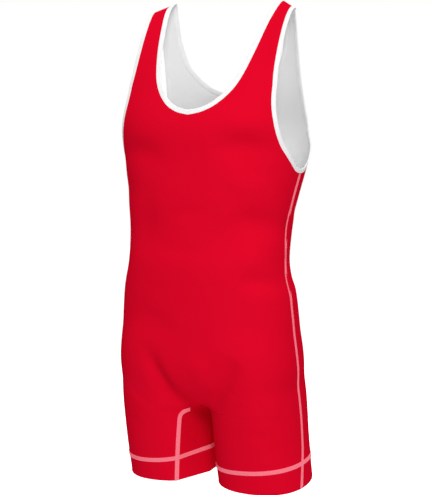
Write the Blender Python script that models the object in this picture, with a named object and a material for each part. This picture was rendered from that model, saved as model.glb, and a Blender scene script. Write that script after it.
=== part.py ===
"""A powerlifting singlet, filled out as it is worn and open at neck, arms and legs.

Metres, +Z up. The front faces -Y, so +X is the wearer's left. The origin is midway
between the two shoulder straps, at the height where they rest on the shoulders.
"""
import bmesh
import bpy
import numpy as np

# Cloth and trim
WALL = 0.0015
HEM_WALL = 0.0026
HEM_DEPTH = 0.034
HEM_STEP = 0.0015
SEAM_GAP = 0.0003
BINDING_GAP = 0.0004
NECK_BINDING_WIDTH = 0.0086
ARMHOLE_BINDING_WIDTH = 0.0072
BINDING_WALL = 0.0022
BINDING_ROUND_OFF = 0.00066

# Torso: one section for each row, a superellipse round its own middle
TORSO_POWER = 2.35
TORSO_COLUMNS = ("z", "half_width", "middle_y", "front", "back")
TORSO = (
    (-0.140, 0.183, -0.006, 0.082, 0.086),
    (-0.200, 0.176, 0.000, 0.115, 0.104),
    (-0.270, 0.160, -0.003, 0.114, 0.106),
    (-0.340, 0.147, -0.014, 0.103, 0.101),
    (-0.385, 0.1425, -0.018, 0.095, 0.099),
    (-0.440, 0.1425, -0.019, 0.100, 0.097),
    (-0.480, 0.151, -0.016, 0.101, 0.113),
    (-0.520, 0.155, -0.013, 0.101, 0.123),
    (-0.580, 0.158, -0.008, 0.101, 0.133),
    (-0.660, 0.158, -0.004, 0.098, 0.124),
)
HIP = -0.600
PELVIS_DROP = 0.085

# Thighs: one section for each row, round the leg's own middle
LEG_POWER = 2.25
LEG_COLUMNS = ("z", "middle_x", "middle_y", "half_width", "front", "back", "seam_y")
LEGS = (
    (-0.500, 0.075, -0.012, 0.066, 0.085, 0.090, -0.015),
    (-0.580, 0.081, -0.004, 0.071, 0.094, 0.109, -0.002),
    (-0.660, 0.086, 0.008, 0.0745, 0.096, 0.112, 0.013),
    (-0.740, 0.0865, 0.016, 0.0776, 0.089, 0.096, 0.013),
    (-0.840, 0.086, 0.024, 0.0790, 0.081, 0.083, -0.010),
)
LEG_TOP = -0.600
LEG_DOME = 0.100
LEG_SWAY = 0.0140
SOFTNESS_BETWEEN_LEGS = 0.007
SOFTNESS_AT_GROIN = 0.019
CASTING_TOP = -0.500

# Hems, tilted so that the back of each leg ends higher. They also roll, by a slope in x and
# a curl in x squared: the first of each pair is at the hem, and the second at its seam.
HEM = -0.810
HEM_TILT = 0.11
HEM_ROLL = {1.0: (0.0, 0.085), -1.0: (0.04, 0.112)}
HEM_CURL = {1.0: (0.0, 0.0), -1.0: (0.0, 0.8)}

# Seams of the leg, in degrees from the outer side round by the front
INSEAM_AT_HEM = {1.0: 158.0, -1.0: 117.0}
INSEAM_AT_CROTCH = {1.0: 162.0, -1.0: 129.0}
INSEAM_SETTLE = 0.0055

# Straps: they leave the chest and the back at STRAP_START and meet on a ridge
STRAP_START = -0.140
STRAP_LENGTH = 0.180
STRAP_RISE = 0.142
STRAP_MIDDLE = 0.120
STRAP_PULL = 0.34
RIDGE_Y = 0.016
RIDGE_SLANT = 0.75
RIDGE_SLOPE = 0.55

# Edges of the cloth from the bottom up to the shoulder. Below STRAP_START a level is a
# height, and above it the way along the strap. The place is x at the neck, and at the
# armhole the degrees from the centre of the front or back round to the side seam.
SHOULDER = STRAP_START + STRAP_LENGTH
ARMHOLE = -0.281
EDGE_COLUMNS = ("place", "level")
NECK_EDGES = {
    "front": (
        (0.000, -0.190), (0.023, -0.185), (0.049, -0.170), (0.073, -0.140),
        (0.090, -0.090), (0.100, -0.040), (0.106, 0.000), (0.107, SHOULDER),
    ),
    "back": (
        (0.000, -0.150), (0.040, -0.144), (0.074, -0.122), (0.094, -0.098),
        (0.104, -0.070), (0.109, -0.030), (0.109, 0.000), (0.107, SHOULDER),
    ),
}
ARMHOLE_EDGES = {
    "front": (
        (90.0, ARMHOLE), (83.0, -0.2778), (76.0, -0.268), (67.0, -0.253), (60.0, -0.239),
        (49.5, -0.200), (44.0, -0.160), (42.0, -0.120), (41.3, -0.080), (41.2, -0.040),
        (42.0, SHOULDER),
    ),
    "back": (
        (90.0, ARMHOLE), (83.0, -0.2778), (76.0, -0.268), (62.0, -0.240), (47.0, -0.200),
        (41.0, -0.150), (39.5, -0.100), (39.5, -0.050), (40.5, 0.000), (42.0, SHOULDER),
    ),
}

# Largest folds, each a soft trough between two points of the front or the back
FOLD_COLUMNS = ("side", "x1", "z1", "x2", "z2", "width", "depth")
FOLDS = (
    ("front", 0.094, -0.590, 0.042, -0.684, 0.010, 0.0042),
    ("front", -0.076, -0.574, -0.032, -0.682, 0.010, 0.0046),
    ("front", 0.104, -0.662, 0.060, -0.690, 0.008, 0.0024),
    ("front", -0.112, -0.656, -0.064, -0.688, 0.008, 0.0030),
    ("back", 0.122, -0.668, 0.040, -0.690, 0.012, 0.0044),
    ("back", -0.118, -0.672, -0.038, -0.690, 0.012, 0.0040),
    ("back", 0.070, -0.418, -0.050, -0.408, 0.015, 0.0024),
    ("back", -0.092, -0.446, 0.010, -0.452, 0.013, 0.0018),
)

# How fast a fold fades to its two ends
FOLD_FADE = 0.7

# Rows and columns of the panels' grids. A crowding over 1 brings rows closer together
# at the neck, at the shoulder, above the crotch and below it.
COLUMNS = 14
ROWS_BESIDE_NECK = 15
ROWS_BESIDE_ARMHOLE = 9
ROWS_ON_TRUNK = 14
ROWS_ON_LEG = 9
CROWDING_AT_NECK = 1.5
CROWDING_AT_SHOULDER = 1.35
CROWDING_ABOVE_CROTCH = 1.6
CROWDING_BELOW_CROTCH = 1.8

# Points along a section before it is cut into columns, and the share of its length over
# which an opening moves the columns beside it
FINE = 200
EDGE_HOLD = 0.45
EDGE_FADE = 0.30

# Search for the surface: a length past any half section, the times it is halved, and
# where the crotch is looked for, as a range of y and a drop below the hips
REACH = 0.3
HALVINGS = 24
CROTCH_RANGE = (-0.06, 0.08)
CROTCH_DROP = 0.14

# Steps for taking slopes: a length, and degrees round a section
SMALL_STEP = 0.0005
SLOPE_STEP = 0.004
SMALL_TURN = 0.5

RED = (0.72, 0.004, 0.022)
WHITE = (0.85, 0.85, 0.86)
SIGN = {"front": -1.0, "back": 1.0}


def smooth_curve(xs, ys, x):
    """Cubic curve through the points (xs, ys), with the slope of its neighbours at each."""
    slope = np.gradient(ys, xs)
    x = np.clip(x, xs[0], xs[-1])
    i = np.clip(np.searchsorted(xs, x, side="right") - 1, 0, len(xs) - 2)
    step = xs[i + 1] - xs[i]
    t = (x - xs[i]) / step
    start = (2 * t**3 - 3 * t**2 + 1) * ys[i] + (t**3 - 2 * t**2 + t) * step * slope[i]
    end = (3 * t**2 - 2 * t**3) * ys[i + 1] + (t**3 - t**2) * step * slope[i + 1]
    return start + end


def read_table(table, columns, z):
    """Every column of a table at the heights z, by the column's name."""
    rows = np.array(table)[::-1]
    return {
        name: smooth_curve(rows[:, 0], rows[:, i], z)
        for i, name in enumerate(columns)
        if i > 0
    }


def soft_minimum(a, b, softness):
    """The smaller of a and b, rounded where they are within the softness of each other."""
    blend = np.maximum(softness - np.abs(a - b), 0.0) / softness
    return np.minimum(a, b) - blend**2 * softness / 4


def leg_middle_x(leg, z, side):
    """Distance of a leg's middle from the centre plane; both legs sway a little to +X."""
    drop = np.clip((HIP - z) / (HIP - HEM), 0.0, 1.0)
    return leg["middle_x"] + side * LEG_SWAY * drop**2


def ellipse_distance(x, y, z, power):
    """Distance outside a unit superellipsoid, along the line from its middle.

    Each argument is a pair: the offset from the middle, and the half size that way.
    """
    away = np.sqrt(x[0] ** 2 + y[0] ** 2 + z[0] ** 2) + 1e-9
    share = sum(np.abs(offset / half) ** power for offset, half in (x, y, z)) + 1e-12
    return away * (1.0 - share ** (-1.0 / power))


def outside(x, y, z):
    """Distance outside the wearer's general form: a pelvis and two thighs, blended."""
    torso = read_table(TORSO, TORSO_COLUMNS, z)
    dy = y - torso["middle_y"]
    depth = np.where(dy < 0.0, torso["front"], torso["back"])
    below = np.maximum(0.0, HIP - z)
    pelvis = ellipse_distance(
        (x, torso["half_width"]), (dy, depth), (below, PELVIS_DROP), TORSO_POWER
    )
    leg = read_table(LEGS, LEG_COLUMNS, z)
    dy = y - leg["middle_y"]
    depth = np.where(dy < 0.0, leg["front"], leg["back"])
    above = np.maximum(0.0, z - LEG_TOP)
    thighs = [
        ellipse_distance(
            (x * side - leg_middle_x(leg, z, side), leg["half_width"]),
            (dy, depth), (above, LEG_DOME), LEG_POWER,
        )
        for side in (1.0, -1.0)
    ]
    both = soft_minimum(thighs[0], thighs[1], SOFTNESS_BETWEEN_LEGS)
    return soft_minimum(pelvis, both, SOFTNESS_AT_GROIN)


def cast(start, direction, slopes, reach):
    """Where a ray from inside the form leaves it, found by halving.

    Its height is start + tilt * dy + roll * dx + curl * dx**2, with the slopes in that order.
    """
    tilt, roll, curl = slopes
    near = np.zeros_like(reach)
    far = reach.copy()
    for _ in range(HALVINGS):
        middle = (near + far) / 2
        dx, dy = middle * direction[0], middle * direction[1]
        z = start[2] + tilt * dy + roll * dx + curl * dx**2
        inside = outside(start[0] + dx, start[1] + dy, z) < 0.0
        near = np.where(inside, middle, near)
        far = np.where(inside, far, middle)
    dx, dy = (near + far) / 2 * direction[0], (near + far) / 2 * direction[1]
    z = start[2] + tilt * dy + roll * dx + curl * dx**2
    return np.stack([start[0] + dx, start[1] + dy, z], axis=-1)


def find_crotch():
    """The lowest point between the legs: its y, and its height."""
    y = np.linspace(*CROTCH_RANGE, FINE)
    low = np.full_like(y, HIP - CROTCH_DROP)
    high = np.full_like(y, HIP)
    for _ in range(HALVINGS):
        middle = (low + high) / 2
        inside = outside(np.zeros_like(y), y, middle) < 0.0
        high = np.where(inside, middle, high)
        low = np.where(inside, low, middle)
    i = int(np.argmin(high))
    return float(y[i]), float(high[i])


CROTCH_Y, CROTCH = find_crotch()
LEVEL = (0.0, 0.0, 0.0)


def torso_section(degrees, level, side):
    """A torso section's points; 0 degrees is the middle of that side, 90 the side seam."""
    z = np.full_like(degrees, level)
    torso = read_table(TORSO, TORSO_COLUMNS, z)
    turn = np.radians(degrees)
    x = torso["half_width"] * np.sin(turn) ** (2 / TORSO_POWER)
    depth = torso[side] * np.cos(turn).clip(0.0) ** (2 / TORSO_POWER)
    return np.stack([x, torso["middle_y"] + SIGN[side] * depth, z], axis=-1)


def strap_section(degrees, level, side):
    """Points across a strap, on curves from the chest or back up to the shoulder ridge."""
    t = (level - STRAP_START) / STRAP_LENGTH
    foot = torso_section(degrees, STRAP_START, side)
    under = torso_section(degrees, STRAP_START - SLOPE_STEP, side)
    x = foot[:, 0]
    lean = (foot[:, 1] - under[:, 1]) / SLOPE_STEP
    rise = STRAP_RISE - RIDGE_SLOPE * (x - STRAP_MIDDLE)
    ridge_y = RIDGE_Y - RIDGE_SLANT * (x - STRAP_MIDDLE)
    pull = STRAP_PULL * rise
    ys = (foot[:, 1], foot[:, 1] + lean * pull,
          ridge_y + (foot[:, 1] - ridge_y) * STRAP_PULL, ridge_y)
    zs = (0.0, pull, rise, rise)
    weights = ((1 - t) ** 3, 3 * (1 - t) ** 2 * t, 3 * (1 - t) * t**2, t**3)
    y = sum(w * value for w, value in zip(weights, ys))
    z = STRAP_START + sum(w * value for w, value in zip(weights, zs))
    return np.stack([x, y, z], axis=-1)


def upper_section(degrees, level, side):
    """A section above the hips, of the torso or of the straps."""
    if level > STRAP_START:
        return strap_section(degrees, level, side)
    return torso_section(degrees, level, side)


def leg_slopes(level, leg_side):
    """A section's tilt, roll and curl: none down to the crotch, and then more to the hem."""
    seam = HEM + HEM_DEPTH
    tilt = HEM_TILT * np.clip((CROTCH - level) / (CROTCH - HEM), 0.0, 1.0)
    roll, curl = (
        np.interp(level, (HEM, seam, CROTCH), (*pair[leg_side], 0.0))
        for pair in (HEM_ROLL, HEM_CURL)
    )
    return tilt, roll, curl


def leg_section(level, side, leg_side):
    """A section of the pelvis or leg, from the side seam round to the centre or inseam.

    Gives its points, the way along them, and how far along the centre line and the
    inseam lie. Above the crotch both are the last point.
    """
    leg = read_table(LEGS, LEG_COLUMNS, np.array([level]))
    middle_x = leg_middle_x(leg, level, leg_side)[0]
    middle_y = leg["middle_y"][0]
    slopes = leg_slopes(level, leg_side)
    seam_y = leg["seam_y"][0]
    seam_z = level + slopes[0] * (seam_y - middle_y)
    outer = (leg_side * middle_x, seam_y, seam_z)
    seam = cast(outer, (leg_side, 0.0), slopes, np.array([REACH]))[0]
    first = np.arctan2(middle_y - seam_y, leg_side * seam[0] - middle_x)
    inside = inseam = np.pi
    if level < CROTCH:
        inside = np.arctan2(middle_y - CROTCH_Y, -middle_x)
        up = np.clip((level - HEM) / (CROTCH - HEM), 0.0, 1.0)
        low, high = INSEAM_AT_HEM[leg_side], INSEAM_AT_CROTCH[leg_side]
        settled = np.radians(low + (high - low) * up)
        settle = 1.0 - np.exp(-(CROTCH - level) / INSEAM_SETTLE)
        inseam = inside + (settled - inside) * settle
    if side == "back":
        inside, inseam = inside - 2 * np.pi, inseam - 2 * np.pi
    farthest = inside if side == "front" else inseam
    turn = np.linspace(first, farthest, FINE)
    across, along = np.cos(turn), -np.sin(turn)
    reach = np.where(across < -1e-6, middle_x / np.maximum(-across, 1e-6), REACH)
    start = (leg_side * middle_x, middle_y, level)
    points = cast(start, (leg_side * across, along), slopes, np.minimum(reach, REACH))
    if level >= CROTCH:
        centre = np.array([0.0, CROTCH_Y, CROTCH])
        if level > CROTCH:
            out = (0.0, np.array([SIGN[side]]))
            centre = cast((0.0, CROTCH_Y, level), out, LEVEL, np.array([REACH]))[0]
        points[leg_side * points[:, 0] < SMALL_STEP] = centre
        points[-1] = centre
    way = way_along(points)
    to_inside, to_inseam = np.interp(
        (abs(inside - first), abs(inseam - first)), np.abs(turn - first), way
    )
    return points, way, to_inside, to_inseam


def way_along(points):
    """The distance along a line at each of its points."""
    steps = np.linalg.norm(np.diff(points, axis=0), axis=1)
    return np.concatenate([[0.0], np.cumsum(steps)])


def edge_value(table, level):
    """An edge's place at a level, on a smooth curve through the table's points."""
    edge = dict(zip(EDGE_COLUMNS, np.array(table).T))
    place, levels = edge["place"], edge["level"]
    steps = np.hypot(np.diff(place) / np.ptp(place), np.diff(levels) / np.ptp(levels))
    way = np.concatenate([[0.0], np.cumsum(steps)])
    fine = np.linspace(0.0, way[-1], 2 * FINE)
    fine_levels = np.maximum.accumulate(smooth_curve(way, levels, fine))
    return np.interp(level, fine_levels, smooth_curve(way, place, fine))


def degrees_at(x, level):
    """How far round a section of the torso or strap an x lies, in degrees."""
    height = np.full_like(x, min(level, STRAP_START))
    half_width = read_table(TORSO, TORSO_COLUMNS, height)["half_width"]
    return np.degrees(np.arcsin(np.clip(x / half_width, 0.0, 1.0) ** (TORSO_POWER / 2)))


def panel_levels(side):
    """The levels of a panel's rows, closer where an opening or the legs begin.

    With them come the numbers of the rows at the neck, armhole, crotch and hem's seam.
    """
    neck = NECK_EDGES[side][0][1]
    fall = np.linspace(1.0, 0.0, ROWS_BESIDE_NECK, endpoint=False)
    fall = 1.0 - (1.0 - fall**CROWDING_AT_NECK) ** CROWDING_AT_SHOULDER
    beside_neck = neck + (SHOULDER - neck) * fall
    beside_neck[0] -= SEAM_GAP / 2
    ease = (1.0 - np.cos(np.linspace(0.0, np.pi, ROWS_BESIDE_ARMHOLE, endpoint=False))) / 2
    beside_armhole = neck + (ARMHOLE - neck) * ease
    fall = np.linspace(1.0, 0.0, ROWS_ON_TRUNK, endpoint=False)
    trunk = CROTCH + (ARMHOLE - CROTCH) * fall**CROWDING_ABOVE_CROTCH
    hem_seam = HEM + HEM_DEPTH
    rise = np.linspace(0.0, 1.0, ROWS_ON_LEG, endpoint=False)
    leg = CROTCH + (hem_seam - CROTCH) * rise**CROWDING_BELOW_CROTCH
    hem = np.array([hem_seam, hem_seam - HEM_STEP, HEM + HEM_DEPTH / 2, HEM])
    levels = np.concatenate([beside_neck, beside_armhole, trunk, leg, hem])
    counts = (ROWS_BESIDE_NECK, ROWS_BESIDE_ARMHOLE, ROWS_ON_TRUNK, ROWS_ON_LEG)
    return levels, np.cumsum(counts)


def row_points(level, side, leg_side):
    """One row of a panel, from its outer edge to its inner edge.

    The columns are spread evenly over the whole section. Where an opening or the inseam
    takes some of its length, the nearest columns move over and the others stay.
    """
    if level > CASTING_TOP:
        degrees = np.linspace(90.0, 0.0, FINE)
        line = upper_section(degrees, level, side)
        line[:, 0] *= leg_side
        way = way_along(line)
        total = way[-1]
        start, end = 0.0, total
        if level > ARMHOLE:
            start = np.interp(-edge_value(ARMHOLE_EDGES[side], level), -degrees, way)
        if level > NECK_EDGES[side][0][1]:
            neck_x = edge_value(NECK_EDGES[side], np.array([level]))
            end = np.interp(-degrees_at(neck_x, level)[0], -degrees, way)
    else:
        line, way, total, end = leg_section(level, side, leg_side)
        start = 0.0
    if level <= ARMHOLE:
        start += SEAM_GAP / 2
    if level < CROTCH:
        end -= SEAM_GAP / 2
    share = np.linspace(0.0, 1.0, COLUMNS)
    room = np.clip(((end - start) / total - EDGE_HOLD) / EDGE_FADE, 0.0, 1.0)
    near_outer, near_inner = (
        1.0 + room * max(0.0, EDGE_HOLD * total / max(taken, SEAM_GAP) - 1.0)
        for taken in (start, total - end)
    )
    at = share * total + start * (1.0 - share) ** near_outer
    at += (end - total) * share**near_inner
    points = np.stack([np.interp(at, way, line[:, axis]) for axis in range(3)], axis=-1)
    if level == CROTCH:
        points[-1, 1] += SIGN[side] * SEAM_GAP / 2
    return points


def row_normals(points, level, side):
    """The outward direction of the surface at each point of a row."""
    if level < STRAP_START:
        reach = SMALL_STEP
        x, y, z = points.T
        slopes = [
            outside(x + reach, y, z) - outside(x - reach, y, z),
            outside(x, y + reach, z) - outside(x, y - reach, z),
            outside(x, y, z + reach) - outside(x, y, z - reach),
        ]
        normals = np.stack(slopes, axis=-1)
    else:
        turn = degrees_at(np.abs(points[:, 0]), level)
        turn = np.clip(turn, SMALL_TURN, 90.0 - SMALL_TURN)
        across = upper_section(turn + SMALL_TURN, level, side)
        across -= upper_section(turn - SMALL_TURN, level, side)
        along = upper_section(turn, min(level + SMALL_STEP, SHOULDER), side)
        along -= upper_section(turn, level - SMALL_STEP, side)
        normals = SIGN[side] * np.cross(along, across)
        normals[:, 0] *= np.where(points[:, 0] < 0.0, -1.0, 1.0)
    return normals / np.linalg.norm(normals, axis=1, keepdims=True)


def fold_depth(points, side):
    """How far the folds of a side sink the surface at some points."""
    depth = np.zeros(len(points))
    for fold in FOLDS:
        fold = dict(zip(FOLD_COLUMNS, fold))
        if fold["side"] != side:
            continue
        start = np.array([fold["x1"], fold["z1"]])
        run = np.array([fold["x2"], fold["z2"]]) - start
        offset = points[:, (0, 2)] - start
        way = np.clip(offset @ run / (run @ run), 0.0, 1.0)
        away = np.linalg.norm(offset - way[:, None] * run, axis=1)
        ends = np.sin(np.pi * way) ** FOLD_FADE
        depth += fold["depth"] * np.exp(-(away / fold["width"]) ** 2) * ends
    return depth


def panel_sheet(side):
    """Both halves of a panel: its outer points, normals and rows with their numbers."""
    levels, marks = panel_levels(side)
    sheet = {"neck": marks[0], "armhole": marks[1], "crotch": marks[2], "hem": marks[3]}
    for half, leg_side in (("left", 1.0), ("right", -1.0)):
        rows = [row_points(level, side, leg_side) for level in levels]
        normals = [row_normals(row, level, side) for row, level in zip(rows, levels)]
        rows = [row - fold_depth(row, side)[:, None] * n for row, n in zip(rows, normals)]
        sheet[half] = np.array(rows)
        sheet[half + "_normals"] = np.array(normals)
    return sheet


def close_wall(name, outer, inner, quads):
    """A closed body between two sheets of points that share the same quads."""
    count = len(outer)
    edges = {}
    for quad in quads:
        for a, b in zip(quad, np.roll(quad, -1)):
            key = (min(a, b), max(a, b))
            edges[key] = None if key in edges else (a, b)
    faces = [tuple(quad) for quad in quads]
    faces += [tuple(quad[::-1] + count) for quad in quads]
    faces += [(b, a, a + count, b + count) for a, b in (e for e in edges.values() if e)]
    return make_object(name, np.concatenate([outer, inner]), faces)


def make_object(name, points, faces):
    """A smooth-shaded object from points and faces, with its faces turned outwards."""
    shape = bmesh.new()
    vertices = [shape.verts.new(point) for point in points]
    for face in faces:
        shape.faces.new([vertices[i] for i in face])
    bmesh.ops.recalc_face_normals(shape, faces=shape.faces)
    if shape.calc_volume(signed=True) < 0.0:
        bmesh.ops.reverse_faces(shape, faces=shape.faces)
    mesh = bpy.data.meshes.new(name)
    shape.to_mesh(mesh)
    shape.free()
    mesh.shade_smooth()
    mesh.set_sharp_from_angle(angle=np.radians(40.0))
    made = bpy.data.objects.new(name, mesh)
    bpy.context.scene.collection.objects.link(made)
    return made


def make_panel(name, sheet):
    """A panel with both legs: two half grids that share the centre line's points."""
    rows, columns = sheet["left"].shape[:2]
    number = np.arange(rows * columns).reshape(rows, columns)
    mirrored = number + rows * columns
    shared = slice(sheet["neck"], sheet["crotch"] + 1)
    mirrored[shared, -1] = number[shared, -1]
    thickness = np.full(rows, WALL)
    thickness[sheet["hem"] + 1:] = HEM_WALL
    points, walls = [], []
    for half in ("left", "right"):
        outer = sheet[half]
        points.append(outer.reshape(-1, 3))
        inner = outer - sheet[half + "_normals"] * thickness[:, None, None]
        walls.append(inner.reshape(-1, 3))
    quads = []
    for grid, order in ((number, 1), (mirrored, -1)):
        corners = (grid[:-1, :-1], grid[:-1, 1:], grid[1:, 1:], grid[1:, :-1])
        quads.append(np.stack(corners, axis=-1).reshape(-1, 4)[:, ::order])
    quads = np.concatenate(quads)
    used, renumbered = np.unique(quads, return_inverse=True)
    outer = np.concatenate(points)[used]
    inner = np.concatenate(walls)[used]
    return close_wall(name, outer, inner, renumbered.reshape(-1, 4))


def make_binding(name, edge, normals, cloth, width):
    """A folded strip along a closed edge of the cloth, with its free edge rounded.

    The section is (way into the opening, height over the middle of the cloth's wall),
    and cloth holds points of the panels a little way in from the edge.
    """
    along = np.roll(edge, -1, axis=0) - np.roll(edge, 1, axis=0)
    into = np.cross(along, normals)
    into /= np.linalg.norm(into, axis=1, keepdims=True)
    into *= np.sign(np.sum(into * (edge - cloth)))
    half = BINDING_WALL / 2
    low = half - BINDING_ROUND_OFF
    straight = width - BINDING_ROUND_OFF
    section = (
        (BINDING_GAP, half), (straight, half), (width, low),
        (width, -low), (straight, -half), (BINDING_GAP, -half),
    )
    middle = edge - normals * WALL / 2
    rings = [middle + into * across + normals * lift for across, lift in section]
    count = len(edge)
    points = np.concatenate(rings)
    faces = [
        (i * count + j, i * count + (j + 1) % count,
         (i + 1) % len(section) * count + (j + 1) % count, (i + 1) % len(section) * count + j)
        for i in range(len(section)) for j in range(count)
    ]
    return make_object(name, points, faces)


def neck_loop(front, back, key):
    """Values round the neck: down and up the front, then down and up the back."""
    pieces = []
    for half in ("left", "right"):
        front_side = front[half + key][: front["neck"] + 1, -1]
        back_side = back[half + key][: back["neck"] + 1, -1]
        pieces.append((front_side, back_side))
    (front_left, back_left), (front_right, back_right) = pieces
    top_left = (front_left[:1] + back_left[:1]) / 2
    top_right = (front_right[:1] + back_right[:1]) / 2
    return np.concatenate([
        top_left, front_left[1:], front_right[-2:0:-1], top_right,
        back_right[1:], back_left[-2:0:-1],
    ])


def armhole_loop(front, back, half, key):
    """Values round one armhole: down the front to the side seam, then up the back."""
    down = front[half + key][: front["armhole"] + 1, 0]
    up = back[half + key][: back["armhole"] + 1, 0][::-1]
    top = (down[:1] + up[-1:]) / 2
    bottom = (down[-1:] + up[:1]) / 2
    return np.concatenate([top, down[1:-1], bottom, up[1:-1]])


def paint(made, name, colour, roughness):
    """Give an object a plain material of its own."""
    material = bpy.data.materials.new(name)
    material.use_nodes = True
    shader = material.node_tree.nodes["Principled BSDF"]
    shader.inputs["Base Color"].default_value = (*colour, 1.0)
    shader.inputs["Roughness"].default_value = roughness
    shader.inputs["Metallic"].default_value = 0.0
    made.data.materials.append(material)


def neighbours(sheets, column):
    """The sheets with their edge column replaced by the next column in."""
    return [
        {**sheet, "left": np.roll(sheet["left"], -column, axis=1),
         "right": np.roll(sheet["right"], -column, axis=1)}
        for sheet in sheets
    ]


def build():
    """Make the two panels and the three bindings."""
    for old in list(bpy.data.objects):
        bpy.data.objects.remove(old, do_unlink=True)
    front = panel_sheet("front")
    back = panel_sheet("back")
    for name, sheet in (("front_panel", front), ("back_panel", back)):
        paint(make_panel(name, sheet), name + "_knit", RED, 0.62)
    inward = neighbours((front, back), -1)
    binding = make_binding(
        "neck_binding", neck_loop(front, back, ""), neck_loop(front, back, "_normals"),
        neck_loop(*inward, ""), NECK_BINDING_WIDTH,
    )
    paint(binding, "neck_binding_tape", WHITE, 0.70)
    inward = neighbours((front, back), 1)
    for half in ("left", "right"):
        name = half + "_armhole_binding"
        binding = make_binding(
            name, armhole_loop(front, back, half, ""),
            armhole_loop(front, back, half, "_normals"), armhole_loop(*inward, half, ""),
            ARMHOLE_BINDING_WIDTH,
        )
        paint(binding, name + "_tape", WHITE, 0.70)


build()
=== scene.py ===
import bpy
import numpy as np
from mathutils import Matrix, Vector


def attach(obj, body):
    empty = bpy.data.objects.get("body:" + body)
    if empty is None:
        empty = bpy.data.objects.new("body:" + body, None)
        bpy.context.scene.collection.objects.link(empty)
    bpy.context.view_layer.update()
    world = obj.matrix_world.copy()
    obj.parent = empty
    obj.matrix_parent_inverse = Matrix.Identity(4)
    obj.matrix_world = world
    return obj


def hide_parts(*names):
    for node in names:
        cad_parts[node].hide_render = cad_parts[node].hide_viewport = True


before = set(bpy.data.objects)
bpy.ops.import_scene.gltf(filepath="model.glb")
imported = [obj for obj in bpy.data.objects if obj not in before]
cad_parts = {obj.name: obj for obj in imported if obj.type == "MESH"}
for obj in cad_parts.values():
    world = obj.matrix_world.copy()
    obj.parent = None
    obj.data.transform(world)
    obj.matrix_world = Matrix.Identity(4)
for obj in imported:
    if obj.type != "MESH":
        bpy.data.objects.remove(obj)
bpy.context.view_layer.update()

# Front and back panels. Each is one cut of smooth stretch knit, red on its face and white
# on its back, with both legs in the same cut and the leg ends turned up inside and stitched.
# They are sewn to each other at the sides, the inseams and the shoulders.

# Sizes in metres, +Z up, the front towards -Y, the origin midway between the straps' tops
CLOTH = 0.0011
HEM_CLOTH = 0.0026
HEM_DEPTH = 0.034

TORSO_POWER = 2.35
TORSO_COLUMNS = ("z", "half_width", "middle_y", "front", "back")
TORSO = (
    (-0.140, 0.183, -0.006, 0.082, 0.086),
    (-0.200, 0.176, 0.000, 0.115, 0.104),
    (-0.270, 0.160, -0.003, 0.114, 0.106),
    (-0.340, 0.147, -0.014, 0.103, 0.101),
    (-0.385, 0.1425, -0.018, 0.095, 0.099),
    (-0.440, 0.1425, -0.019, 0.100, 0.097),
    (-0.480, 0.151, -0.016, 0.101, 0.113),
    (-0.520, 0.155, -0.013, 0.101, 0.123),
    (-0.580, 0.158, -0.008, 0.101, 0.133),
    (-0.660, 0.158, -0.004, 0.098, 0.124),
)
HIP = -0.600
PELVIS_DROP = 0.085
LEG_POWER = 2.25
LEG_COLUMNS = ("z", "middle_x", "middle_y", "half_width", "front", "back", "seam_y")
LEGS = (
    (-0.500, 0.075, -0.012, 0.066, 0.085, 0.090, -0.015),
    (-0.580, 0.081, -0.004, 0.071, 0.094, 0.109, -0.002),
    (-0.660, 0.086, 0.008, 0.0745, 0.096, 0.112, 0.013),
    (-0.740, 0.0865, 0.016, 0.0776, 0.089, 0.096, 0.013),
    (-0.840, 0.086, 0.024, 0.0790, 0.081, 0.083, -0.010),
)
LEG_TOP = -0.600
LEG_DOME = 0.100
LEG_SWAY = 0.0140
SOFTNESS_BETWEEN_LEGS = 0.007
SOFTNESS_AT_GROIN = 0.019
CASTING_TOP = -0.500
HEM = -0.810
HEM_TILT = 0.11

# How the hems roll and curl: the first of each pair is at the hem, the second at its seam.
# The inseam's place is in degrees from the outer side round by the front.
HEM_ROLL = {1.0: (0.0, 0.085), -1.0: (0.04, 0.112)}
HEM_CURL = {1.0: (0.0, 0.0), -1.0: (0.0, 0.8)}
INSEAM_AT_HEM = {1.0: 158.0, -1.0: 117.0}
INSEAM_AT_CROTCH = {1.0: 162.0, -1.0: 129.0}
INSEAM_SETTLE = 0.0035

STRAP_START = -0.140
STRAP_LENGTH = 0.180
STRAP_RISE = 0.142
STRAP_MIDDLE = 0.120
STRAP_PULL = 0.34
RIDGE_Y = 0.016
RIDGE_SLANT = 0.75
RIDGE_SLOPE = 0.55

# Edges of the cloth. Below STRAP_START a level is a height, and above it the way along the
# strap. The place is x at the neck, and degrees round from the middle at the armhole.
SHOULDER = STRAP_START + STRAP_LENGTH
ARMHOLE = -0.281
EDGE_COLUMNS = ("place", "level")
NECK_EDGES = {
    "front": (
        (0.000, -0.190), (0.023, -0.185), (0.049, -0.170), (0.073, -0.140),
        (0.090, -0.090), (0.100, -0.040), (0.106, 0.000), (0.107, SHOULDER),
    ),
    "back": (
        (0.000, -0.150), (0.040, -0.144), (0.074, -0.122), (0.094, -0.098),
        (0.104, -0.070), (0.109, -0.030), (0.109, 0.000), (0.107, SHOULDER),
    ),
}
ARMHOLE_EDGES = {
    "front": (
        (90.0, ARMHOLE), (83.0, -0.2778), (76.0, -0.268), (67.0, -0.253), (60.0, -0.239),
        (49.5, -0.200), (44.0, -0.160), (42.0, -0.120), (41.3, -0.080), (41.2, -0.040),
        (42.0, SHOULDER),
    ),
    "back": (
        (90.0, ARMHOLE), (83.0, -0.2778), (76.0, -0.268), (62.0, -0.240), (47.0, -0.200),
        (41.0, -0.150), (39.5, -0.100), (39.5, -0.050), (40.5, 0.000), (42.0, SHOULDER),
    ),
}

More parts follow.
